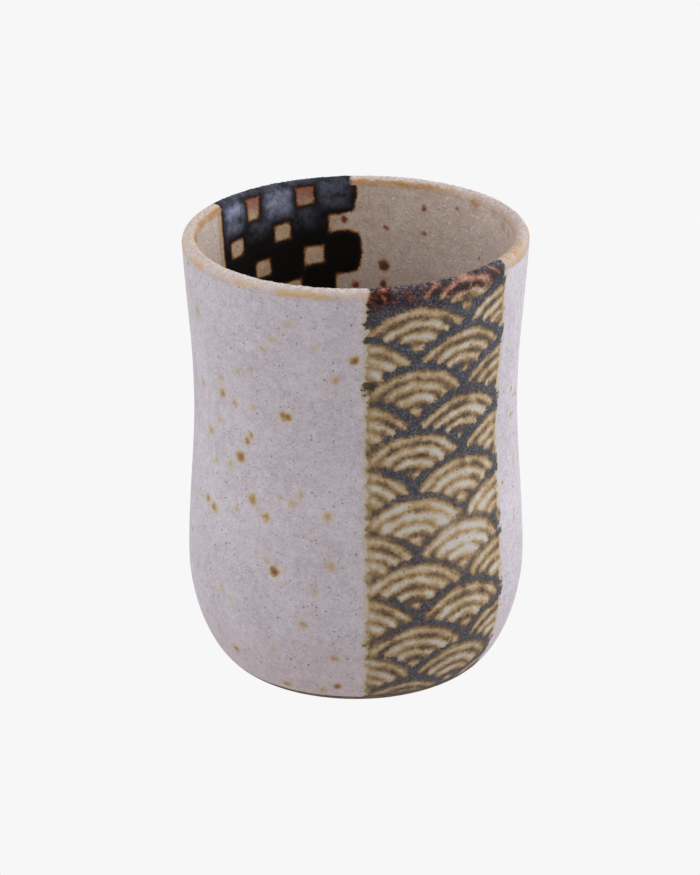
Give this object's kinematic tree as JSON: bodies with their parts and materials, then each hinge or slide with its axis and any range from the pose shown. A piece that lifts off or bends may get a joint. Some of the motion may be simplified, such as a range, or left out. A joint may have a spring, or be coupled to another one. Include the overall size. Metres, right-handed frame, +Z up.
{
  "type": "tea cup",
  "caption": "Tall handleless stoneware tea cup with a slight waist, matt speckled glaze, an iron wave band outside and an iron check band inside.",
  "frame": {"origin": "centre of the foot's resting face", "axes": "+Z up along the cup's axis, -Y towards the side that the picture shows, with the wave band to its right"},
  "size_m": [0.068, 0.068, 0.0902],
  "materials": {
    "bare_clay": "fired stoneware clay, unglazed",
    "outer_glaze": "matt lavender-grey glaze with iron specks",
    "inner_glaze": "matt warm grey glaze with iron spots",
    "wave_iron": "slate iron decoration fired into the glaze",
    "check_iron": "black iron decoration fired into the glaze",
    "iron_lip": "rust and black iron on the lip",
    "ochre_lip": "thin ochre glaze broken over the lip"
  },
  "bodies": {
    "root": {"foot_ring": "bare_clay", "clay_base": "bare_clay", "clay_wall": "bare_clay", "outer_glaze": "outer_glaze", "inner_glaze": "inner_glaze", "wave_band": "wave_iron", "check_band": "check_iron", "lip_iron_front": "iron_lip", "lip_iron_back": "iron_lip", "lip_ochre_right": "ochre_lip", "lip_ochre_left": "ochre_lip"}
  },
  "joints": []
}
